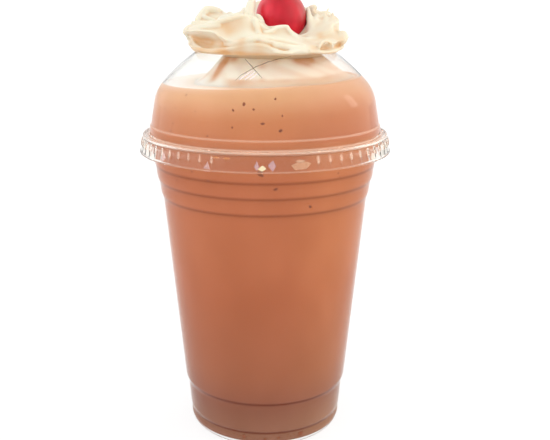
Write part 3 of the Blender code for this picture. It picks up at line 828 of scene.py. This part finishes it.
def make_lid():
    slope = (GRIP_TOP[0] - GRIP_BOTTOM[0]) / (GRIP_TOP[1] - GRIP_BOTTOM[1])
    grip = np.linspace(RIB_HEIGHTS[0] - 0.2 * MM, RIB_HEIGHTS[1] + 0.2 * MM, RIB_ROWS + 1)
    flange = FLANGE_TOP - 0.3 * MM
    outline = [
        *near((SKIRT_EDGE_RADIUS, SKIRT_EDGE_HEIGHT), (0, 0), (0, 0.5), (-0.5, 0.9)),
        *((GRIP_BOTTOM[0] + (height - GRIP_BOTTOM[1]) * slope, height) for height in grip),
        *near((GRIP_TOP[0], FLANGE_TOP), (0.25, -1.1), (0.1, -0.3), (-0.7, 0), (-1.5, -0.3)),
        (SHOULDER_RADIUS + 0.2 * MM, flange), (SHOULDER_RADIUS, SHOULDER_HEIGHT),
        *dome_outline(0.0),
        *reversed(dome_outline(LID_WALL)),
        (SHOULDER_RADIUS - LID_WALL, SHOULDER_HEIGHT - 0.2 * MM),
        (SHOULDER_RADIUS - LID_WALL, flange - LID_WALL), (GRIP_TOP[0] - 1.0 * MM, flange - LID_WALL),
        (GRIP_TOP[0] - LID_WALL, GRIP_TOP[1] - 0.4 * MM),
        (GRIP_BOTTOM[0] - LID_WALL, GRIP_BOTTOM[1]),
        (SKIRT_EDGE_RADIUS - 0.4 * MM - LID_WALL, SKIRT_EDGE_HEIGHT),
    ]
    # Painted highlights: pale rings at the skirt's edge, under the flange and at the dome's foot.
    highlight_rings = (
        (SKIRT_EDGE_HEIGHT + 0.25 * MM, 0.25 * MM, 0.1),
        (FLANGE_TOP - 0.35 * MM, 0.75 * MM, 0.25),
        (DOME_FOOT[1] - 0.2 * MM, 0.5 * MM, 0.24),
    )
    # Painted shade: the drink darker behind the skirt, and darker still in a line just under the flange.
    clear, skirt_shade, dark = (0.985, 0.995, 0.985), (0.93, 0.87, 0.81), (0.74, 0.7, 0.62)
    shade_stops = (
        (SKIRT_EDGE_HEIGHT + 0.4 * MM, clear), (SKIRT_EDGE_HEIGHT + 1.0 * MM, skirt_shade),
        (GRIP_TOP[1] - 1.0 * MM, skirt_shade), (GRIP_TOP[1] - 0.6 * MM, dark),
        (GRIP_TOP[1] - 0.3 * MM, dark), (GRIP_TOP[1], clear),
    )
    plastic = clear_plastic("clear_lid_plastic", clear, 1.3, 0.02, 0.03, highlight_rings, 0.6, shade_stops)
    outline = rounded(outline, 0.3 * MM, closed=True)
    lid = turned("lid_shell", outline, LID_SEGMENTS, plastic, closed=True, raised=rib)
    # Painted highlight on the ribs' crests, patchy and fading toward the front and the back.
    ridge = []
    for vertex in lid.data.vertices:
        x, y, z = vertex.co
        angle = atan2(y, x)
        crest = rib(hypot(x, y), z, angle) / RIB_HEIGHT
        patchy = 0.75 + 0.9 * noise.noise(Vector((5 * cos(angle), 5 * sin(angle), z / (9 * MM))))
        ridge.append(clamp(1.4 * crest - 0.4) * clamp(patchy) * rib_share(angle))
    set_values(lid, "ridge", ridge)
    place_piece(lid, "lid")


def dome_lines(name, lines, half_width, material):
    """Thin tapered ridges that follow the dome's outside along (azimuth, height) keys."""
    skins = []
    for keys in lines:
        spots = [spot for ends in zip(keys, keys[1:]) for spot in np.linspace(*ends, 5, endpoint=False)]
        centres = [
            level_point(dome_radius(height * MM, 0.1 * MM), height * MM, radians(azimuth))
            for azimuth, height in (*spots, keys[-1])
        ]
        count = len(centres)
        outward = [Vector((*centre.xy, 0)).normalized() for centre in centres]
        radii = [half_width * (0.35 + 0.65 * sin(pi * (i + 0.5) / count)) for i in range(count)]
        skins.append(plugged(tube_rings(centres, outward, radii, 6, flatness=0.6)[::-1]))
    place_piece(mesh_object(name, joined(skins), material))


def make_tab_glints():
    """The tabs inside the skirt that hold the lid on the cup's rim: small uneven facets, coloured as painted
    glints and reflections.
    """
    for number, (azimuth, height, half_width, half_height, corners, share, colour) in enumerate(TAB_GLINTS):
        points = []
        for depth in (0.0, TAB_THICKNESS):
            for k in range(corners):
                angle = 2 * pi * (k + random.uniform(-0.15, 0.15)) / corners + pi / 2
                reach = random.uniform(0.8, 1.2)
                turned_by = half_width * MM * reach * cos(angle) / TAB_RADIUS
                rise = half_height * MM * reach * sin(angle)
                radius = TAB_RADIUS + depth - 0.12 * rise
                points.append(level_point(radius, height * MM + rise, radians(azimuth) + turned_by))
        points.append(level_point(TAB_RADIUS + 1.8 * TAB_THICKNESS, height * MM, radians(azimuth)))
        faces = [tuple(range(corners))[::-1], *ring_faces(2, corners)]
        faces += [(corners + k, corners + (k + 1) % corners, 2 * corners) for k in range(corners)]
        # Each tab's colour is a painted glint, pale or greenish-grey.
        glint_look = painted_reflection_mark("frosted_tab_%d" % number, linear(*colour), share, 0.15)
        tab = mesh_object("lid_tab_glint_%d" % number, (points, faces), glint_look, sharp_angle=radians(20))
        place_piece(tab)


def speck_skin(azimuth, height, size):
    """One flat uneven fleck of fruit, half sunk in the drink's side. Its height and radius are in mm."""
    rows, corners = 4, 8
    angle, height = radians(azimuth), height * MM
    outward, across = level_point(1, 0, angle), level_point(1, 0, angle + pi / 2)
    side = drink_radius(height)
    centre = level_point(side, height, angle)
    stretch, tilt = random.uniform(0.7, 1.25), random.uniform(0, pi)
    rings = []
    for row in range(1, rows):
        polar = pi * row / rows
        ring = []
        for around in turn(corners):
            reach = size * MM * sin(polar) * random.uniform(0.8, 1.15)
            a, b = reach * cos(around) * stretch, reach * sin(around) / stretch
            rise = a * sin(tilt) + b * cos(tilt)
            lean = drink_radius(height + rise) - side if height > LOW_BAND_TOP else 0.0
            spot = centre + across * (a * cos(tilt) - b * sin(tilt)) + Vector((0, 0, rise))
            ring.append(spot + outward * (lean - SPECK_DEPTH * cos(polar)))
        rings.append(ring)
    return capped(rings, centre - outward * SPECK_DEPTH, centre + outward * SPECK_DEPTH)


def make_specks():
    """The specks in front, and smaller ones all round the rest of the drink."""
    places = list(SPECKS)
    azimuths, heights, sizes = SPECK_RANGES
    while len(places) < len(SPECKS) + SPECKS_ELSEWHERE:
        azimuth = random.uniform(*azimuths)
        places.append((azimuth, between(*heights, random.random() ** 0.6), random.uniform(*sizes)))
    skin = joined(speck_skin(*place) for place in places)
    place_piece(mesh_object("fruit_specks", skin, speck_material()))


def make_milkshake():
    in_cup, in_lid = CUP_WALL - INTO_WALL, LID_WALL - INTO_WALL
    outline = [
        (FOOT_RADIUS - 1.8 * MM, CUP_FLOOR - INTO_WALL), (FOOT_RADIUS + 0.6 * MM, CUP_FLOOR - 1.0 * MM),
        *((radius - in_cup, height) for radius, height in cup_wall_outline()),
        (CUP_NECK_RADIUS - in_cup, CUP_RIM_TOP - 0.5 * MM),
        (SHOULDER_RADIUS - in_lid, FLANGE_TOP + 0.6 * MM),
        (SHOULDER_RADIUS - in_lid, SHOULDER_HEIGHT - 0.1 * MM),
    ]
    around = turn(CUP_SEGMENTS)
    rings = [
        [level_point(radius, height, angle) for angle in around]
        for radius, height in rounded(outline, STEP_ROUNDING)
    ]
    levels = [SHAKE_LEVEL] * CUP_SEGMENTS
    for _ in range(3):
        levels = [shake_height(dome_radius(level, in_lid) * cos(a)) for level, a in zip(levels, around)]
    for share in np.linspace(0, 1, DOME_ROWS + 1):
        heights = [between(DOME_FOOT[1], level, share) for level in levels]
        rings.append([level_point(dome_radius(h, in_lid), h, angle) for h, angle in zip(heights, around)])
    edge = rings[-1]
    froth = [0.0] * (len(rings) - 3) + [0.04, 0.1, 0.22]
    for share in SURFACE_RINGS:
        froth.append(clamp(0.7 + 20 * (SURFACE_RINGS[0] - share)))
        sunk = MENISCUS * (1 - clamp((share - 0.9) / 0.1))
        ring = []
        for x, y, _ in edge:
            x, y = x * share, y * share
            lumps = 0.4 * MM * noise.noise(Vector((x, y, 0)) * 160) * (1 - share)
            ring.append((x, y, shake_height(x) - sunk + lumps))
        rings.append(ring)
    skin = capped(rings, (0, 0, CUP_FLOOR - INTO_WALL), (0, 0, SHAKE_LEVEL - MENISCUS))
    shake = mesh_object("milkshake_fill", skin, shake_material())
    set_values(shake, "froth", [*np.repeat(froth, CUP_SEGMENTS), 0.0, 1.0])
    place_piece(shake, "milkshake")


def crinkle(azimuth, lean):
    """Star-tip ridges that run up the right side of the head, round on top and sharp between."""
    wave = abs(cos(radians(CRINKLES_PER_TURN / 2 * (azimuth + lean))))
    return bump(azimuth, *CRINKLES_SPREAD) * CRINKLE_DEPTH * (2.4 * wave - 1.4)


def crests(azimuth):
    """The four crest points of the head at an azimuth: lip, lower, upper and rim."""
    found = []
    for keys, crinkled, lean in CREST_LINES:
        radius, height = round_crest(keys, azimuth)
        found.append(level_point(radius + crinkled * crinkle(azimuth, lean), height, radians(azimuth)))
    return found


def head_point(azimuth, band):
    """A point of the head: band 0 is its lip, 1 the lower crest, 2 the upper crest and 3 the rim."""
    low = min(int(band), 2)
    share = band - low
    scooped = bump(azimuth, HOLLOW_AZIMUTH, HOLLOW_WIDTH)
    if low == 0:
        depth = between(LIP_FLUTE_DEPTH, HOLLOW_DEPTH, scooped)
        depth *= sin(pi * clamp(share) ** between(1.0, 0.7, scooped))
    else:
        depth = between(FLUTE_DEPTH, 0.2 * MM, scooped if low == 1 else 0.0) * sin(pi * clamp(share))
    start, end = crests(azimuth)[low:low + 2]
    point = start.lerp(end, share)
    core = level_point(*HEAD_CORE, radians(azimuth))
    return point + (core - point).normalized() * depth


def seat_point(rim, share):
    """A point of the cherry's bed, below the rim. The share runs from 0 at its bottom to 1 at its edge."""
    below_centre = (CHERRY_CENTRE.z - rim.z + SEAT_DROP) / CHERRY_BED_RADIUS
    lean = min(SEAT_LEAN, acos(clamp(below_centre, -1.0, 1.0))) * share
    around = atan2(rim.y - CHERRY_CENTRE.y, rim.x - CHERRY_CENTRE.x)
    return CHERRY_CENTRE + level_point(sin(lean), -cos(lean), around) * CHERRY_BED_RADIUS


def clear_of_cherry(point):
    away = point - CHERRY_CENTRE
    if away.length >= CHERRY_BED_RADIUS:
        return point
    return CHERRY_CENTRE + away.normalized() * CHERRY_BED_RADIUS


def head_column(azimuth):
    """One upright section of the head, from its neck through the lid's hole to the cherry's bed."""
    hole_top = dome_height(HOLE_RADIUS) + CREAM_CLEARANCE
    foot = (
        (MOUND_CENTRE, NECK_RADIUS, HEAD_BOTTOM),
        (MOUND_CENTRE, NECK_RADIUS, hole_top - 0.2 * MM),
        (0, HOLE_RADIUS - 2.2 * MM, hole_top + 0.1 * MM),
        (0, HOLE_RADIUS + 0.8 * MM, hole_top),
        (0, UNDER_LIP_RADIUS, dome_height(UNDER_LIP_RADIUS) + CREAM_CLEARANCE),
    )
    around = level_point(1, 0, radians(azimuth))
    column = [around * radius + Vector((x, 0, height)) for x, radius, height in foot]
    column += [head_point(azimuth, step / HEAD_STEPS) for step in range(3 * HEAD_STEPS + 1)]
    return column + [seat_point(column[-1], share) for share in (1.0, 0.75, 0.5, 0.25)]


def fold_tube(keys, half_width, lift):
    """The skin of one piped fold: a tapered round tube that lies on the head along its keys."""
    count = FOLD_STEPS * (len(keys) - 1)
    spots, outward, radii = [], [], []
    for step in range(count + 1):
        low = min(step // FOLD_STEPS, len(keys) - 2)
        around = [keys[clamp(low + i, 0, len(keys) - 1)] for i in (-1, 0, 1, 2)]
        found = [catmull(*numbers, step / FOLD_STEPS - low) for numbers in zip(*around)]
        spot = Vector(found) * MM if len(found) == 3 else head_point(found[0], clamp(found[1], 0.0, 3.0))
        away = (spot - FOLD_CORE).normalized()
        spots.append(spot + away * lift)
        outward.append(away)
        radii.append(half_width * (0.35 + 0.65 * sin(pi * clamp(step / count * 0.9 + 0.05)) ** 0.6))
    return capped(tube_rings(spots, outward, radii, FOLD_SIDES), spots[0], spots[-1])


def back_folds():
    """Folds that lean up round the back of the head, one beside another, with a lip under them."""
    first, last, count = BACK_FOLDS
    folds = []
    for i in range(count):
        azimuth = between(first, last, i / (count - 1)) + random.uniform(-4, 4)
        lean = random.uniform(10, 24)
        top = random.uniform(2.3, 2.9)
        keys = [(azimuth + lean * share, between(0.25, top, share)) for share in (0, 0.35, 0.7, 1)]
        folds.append((random.uniform(0.9, 1.6), 0.2, keys))
    lip = [(azimuth, 0.04 + 0.04 * (i % 2)) for i, azimuth in enumerate(range(-14, 190, 17))]
    return folds + [(0.9, 0.1, lip)]


def mesh_arrays(mesh):
    """The mesh's points, edges and normals as arrays."""
    sources = (
        (mesh.vertices, "co", 3, np.float32), (mesh.edges, "vertices", 2, np.int32),
        (mesh.vertex_normals, "vector", 3, np.float32),
    )
    found = []
    for source, name, width, kind in sources:
        values = np.empty(len(source) * width, kind)
        source.foreach_get(name, values)
        found.append(values.reshape(-1, width))
    return found[0].astype(float), *found[1:]


def drop_crumbs(mesh):
    """Deletes the crumbs that the remesh leaves beside the body."""
    edges = mesh_arrays(mesh)[1]
    body, settled = np.arange(len(mesh.vertices)), False
    while not settled:
        lowest = body.copy()
        np.minimum.at(lowest, edges[:, 0], body[edges[:, 1]])
        np.minimum.at(lowest, edges[:, 1], body[edges[:, 0]])
        lowest = lowest[lowest]
        settled = (lowest == body).all()
        body = lowest
    crumbs = np.flatnonzero(body != np.bincount(body).argmax())
    whole = bmesh.new()
    whole.from_mesh(mesh)
    whole.verts.ensure_lookup_table()
    bmesh.ops.delete(whole, geom=[whole.verts[i] for i in crumbs], context="VERTS")
    whole.to_mesh(mesh)
    whole.free()


def fused(name, skins, material):
    """One closed piece over overlapping closed skins."""
    made = mesh_object(name + "_parts", joined(skins), material)
    made.name = name
    remesh = made.modifiers.new("fuse", "REMESH")
    remesh.mode, remesh.voxel_size = "VOXEL", CREAM_VOXEL
    smooth = made.modifiers.new("soften", "SMOOTH")
    smooth.factor, smooth.iterations = 0.5, 4
    graph = bpy.context.evaluated_depsgraph_get()
    skin = bpy.data.meshes.new_from_object(made.evaluated_get(graph))
    made.modifiers.clear()
    made.data = skin
    skin.name = name
    drop_crumbs(skin)
    skin.materials.clear()
    skin.materials.append(material)
    skin.shade_smooth()
    return made


def softened(points, edges, passes, share=1.0):
    """The points after passes of smoothing. The share may differ from point to point."""
    ends, others = np.concatenate([edges, edges[:, ::-1]]).T
    valence = np.bincount(ends, minlength=len(points))[:, None]
    for _ in range(passes):
        total = [np.bincount(ends, points[others, axis], len(points)) for axis in range(3)]
        points = points + share * (np.stack(total, axis=1) / valence - points)
    return points


def cavity(mesh, passes):
    """How deep each vertex lies in a fold, in metres: its distance below the smoothed surface."""
    points, edges, normals = mesh_arrays(mesh)
    return ((softened(points, edges, passes) - points) * normals).sum(axis=1)


def rising(values, start, length):
    """0 up to the start, rising evenly to 1 over the length."""
    return np.clip((values - start) / length, 0, 1)


def nearness(points, centre, radius):
    """1 at the centre, falling off on all sides like a bell."""
    away = np.linalg.norm(points - np.array(centre), axis=1)
    return np.exp(-((away / radius) ** 2))


def make_cream_head():
    columns = [head_column(-180 + 360 * step / HEAD_SEGMENTS) for step in range(HEAD_SEGMENTS)]
    bottom = Vector((MOUND_CENTRE, 0, HEAD_BOTTOM))
    top = CHERRY_CENTRE - Vector((0, 0, CHERRY_BED_RADIUS))
    skins = [capped(list(zip(*columns)), bottom, top)]
    for half_width, lift, keys in (*FOLDS, *back_folds()):
        skins.append(fold_tube(keys, half_width * MM, lift * MM))
    cream = cream_material(
        "whipped_cream", linear(222, 217, 198), linear(212, 162, 104), linear(228, 224, 209)
    )
    head = fused("cream_swirl", skins, cream)
    points, edges, _ = mesh_arrays(head.data)
    soft = rising(points[:, 0], 9 * MM, 5 * MM) * rising(points[:, 2], 164 * MM, 3 * MM)
    points = softened(points, edges, 20, 0.7 * soft[:, None])
    points[:, 2] -= CHEEK_DIP_DEPTH * nearness(points, np.array(CHEEK_DIP) * MM, CHEEK_DIP_RADIUS)
    for vertex, point in zip(head.data.vertices, points):
        vertex.co = clear_of_cherry(Vector(point))
    points = mesh_arrays(head.data)[0]
    x, z = points[:, 0], points[:, 2]
    # Painted shade: tan in the folds, on the underside, toward the right and at the shade spots.
    painted_warm_shade = np.clip(cavity(head.data, 40) / (0.8 * MM), 0, 0.65)
    shade_top = SHADED_UNDERSIDE_TOP + 1.2 * MM * np.clip(-x / (20 * MM), -0.6, 1)
    painted_warm_shade += 0.55 * rising(shade_top - z, 0, 1.2 * MM)
    painted_warm_shade += 0.16 * rising(x, 12 * MM, 10 * MM)
    for azimuth, band, radius, strength in SHADE_SPOTS:
        painted_warm_shade += strength * nearness(points, head_point(azimuth, band), radius * MM)
    set_values(head, "painted_warm_shade", np.clip(painted_warm_shade, 0, 1))
    place_piece(head, "whipped_cream")


def make_cream_under_lid():
    """The cream in the dome: a soft cone with folds that lean round it, streaked with the drink, with painted
    shade toward the right and on its flanks.
    """
    rings, painted_warm_shade = [], []
    for share in np.linspace(0, 1, MOUND_ROWS + 1):
        cone = between(MOUND_BASE_RADIUS, MOUND_TOP_RADIUS, share ** 0.85) + 1.8 * MM * (1 - share) ** 8
        at_foot = smooth_step(clamp((MOUND_FOOT_SHARE - share) / 0.16))
        ring = []
        for angle in turn(MOUND_SEGMENTS):
            radius = cone + 0.7 * MM * (1 - 0.6 * share) * cos(7 * angle + share)
            radius += 0.6 * MM * noise.noise(level_point(1, 0.6 * share, angle) * 2.4)
            x = MOUND_CENTRE + radius * cos(angle)
            foot = shake_height(x) - 0.4 * MM
            ring.append(Vector((x, radius * sin(angle), between(foot, MOUND_TOP, share))))
            # Streaks of the drink, and painted shade toward the right.
            streak = noise.noise(Vector((3.2 * angle + 2.0 * share, 1.2 * share, 4.0)))
            above = clamp(0.08 + 0.35 * streak) + 0.45 * clamp(x / (26 * MM))
            foot_tint = clamp((x + 17 * MM) / (7 * MM), 0.0, 0.55) + 0.28 * clamp(x / (24 * MM))
            painted_warm_shade.append(between(above, foot_tint, at_foot))
        rings.append(ring)
    points = np.array([tuple(point) for ring in rings for point in ring])
    # Streaks of the drink and painted shade at the listed spots.
    for centre, width, strength in MOUND_SHADE_SPOTS:
        painted_warm_shade += strength * nearness(points, np.array(centre) * MM, width * MM)
    bottom = (MOUND_CENTRE, 0, shake_height(MOUND_CENTRE) - 0.6 * MM)
    cream = cream_material(
        "whipped_cream_tinted", linear(255, 248, 234), linear(214, 150, 96), linear(246, 236, 218)
    )
    mound = mesh_object("cream_in_dome", capped(rings, bottom, (MOUND_CENTRE, 0, MOUND_TOP)), cream)
    set_values(mound, "painted_warm_shade", [*np.clip(painted_warm_shade, 0, 1), 0.5, 0.5])
    place_piece(mound, "whipped_cream_under_lid")


def make_cherry():
    """A slightly uneven sphere that bulges at its cheek, with the dimple that the stalk came out of."""
    rings = []
    for row in range(1, CHERRY_ROWS):
        polar = pi * row / CHERRY_ROWS
        ring = []
        for angle in turn(CHERRY_SEGMENTS):
            way = level_point(sin(polar), -cos(polar), angle)
            radius = CHERRY_RADIUS * (1 - 0.012 * (1 + noise.noise(way * 1.3)) / 2)
            point = way * (radius * (1 + CHERRY_BULGE * clamp(way.dot(CHERRY_CHEEK)) ** 4))
            across = hypot(point.x, point.y)
            if point.z > 0 and across < STEM_DIMPLE_RADIUS:
                point.z -= STEM_DIMPLE_DEPTH * smooth_step(1 - across / STEM_DIMPLE_RADIUS)
            ring.append(CHERRY_CENTRE + point)
        rings.append(ring)
    pole = Vector((0, 0, 0.99 * CHERRY_RADIUS))
    skin = capped(rings, CHERRY_CENTRE - pole, CHERRY_CENTRE + pole - Vector((0, 0, STEM_DIMPLE_DEPTH)))
    place_piece(mesh_object("cherry_fruit", skin, cherry_material()), "cherry")


# --- the stage -------------------------------------------------------------------------------------

def make_floor():
    shader = Shader("pale_floor")
    speckle = shader.remap(shader.noise(30.0, 2.0), 0.3, 0.7)
    shader.set(
        Base_Color=shader.mix(speckle, (0.19, 0.19, 0.19), (0.21, 0.21, 0.21)), Roughness=0.9,
        Specular_IOR_Level=0.1, Emission_Color=(1.0, 1.0, 1.0, 1.0), Emission_Strength=FLOOR_GLOW,
    )
    half = FLOOR_SIZE / 2
    corners = [(-half, -half, 0), (half, -half, 0), (half, half, 0), (-half, half, 0)]
    mesh_object("floor", (corners, [(0, 1, 2, 3)]), shader.owner)


def make_lights():
    """An even pale sky, brighter overhead, in front and at both sides, and a window at the back right."""
    sky = Nodes(bpy.data.worlds.new("studio"))
    axes = sky.axes("Generated")
    colour, *factors = (
        sky.ramp(sky.remap(axes[axis], low, 1.0), stops, "EASE")
        for axis, low, stops in (("Z", 0.0, SKY_HEIGHTS), ("X", -1.0, SKY_SIDES), ("Y", -1.0, SKY_DEPTHS))
    )
    for factor in factors:
        colour = sky.node("ShaderNodeVectorMath", {0: colour, 1: factor}, operation="MULTIPLY").outputs[0]
    sky.feed(sky.tree.nodes["Background"].inputs["Color"], colour)
    bpy.context.scene.world = sky.owner
    data = bpy.data.lights.new("window", "AREA")
    data.shape = "RECTANGLE"
    data.size, data.size_y = WINDOW_SIZE
    data.energy = WINDOW_POWER
    window = new_object("window", data)
    window.location = WINDOW_PLACE
    window.rotation_euler = (WINDOW_AIM - WINDOW_PLACE).to_track_quat("-Z", "Y").to_euler()


def make_camera():
    data = bpy.data.cameras.new("camera")
    data.sensor_width = SENSOR_WIDTH
    data.lens = FOCAL_PIXELS / PHOTO_WIDTH * SENSOR_WIDTH
    data.shift_x = (PHOTO_WIDTH / 2 - AXIS_PIXEL) / PHOTO_WIDTH
    data.clip_start = 0.01
    camera = new_object("camera", data)
    camera.location = (0.0, -CAMERA_DISTANCE, CAMERA_HEIGHT)
    camera.rotation_euler = (pi / 2 - CAMERA_PITCH, 0.0, 0.0)
    bpy.context.scene.camera = camera


def main():
    random.seed(7)
    bpy.context.scene.view_settings.view_transform = "Standard"
    make_camera()
    make_lights()
    make_floor()
    make_cup()
    make_lid()
    make_milkshake()
    make_cream_under_lid()
    make_cream_head()
    make_cherry()
    # A painted reflection of a window frame on the dome: dark crossing lines and pale stripes between them.
    frame_line_look = painted_reflection_mark("crease_shade", linear(112, 84, 64), 0.5)
    dome_lines("dome_painted_reflection_lines", FRAME_REFLECTION_LINES, FRAME_LINE_WIDTH, frame_line_look)
    frame_stripe_look = painted_reflection_mark("crease_shine", linear(255, 240, 242), 0.65)
    dome_lines("dome_painted_reflection_stripes", FRAME_REFLECTION_STRIPES, STRIPE_WIDTH, frame_stripe_look)
    make_tab_glints()
    make_specks()


main()
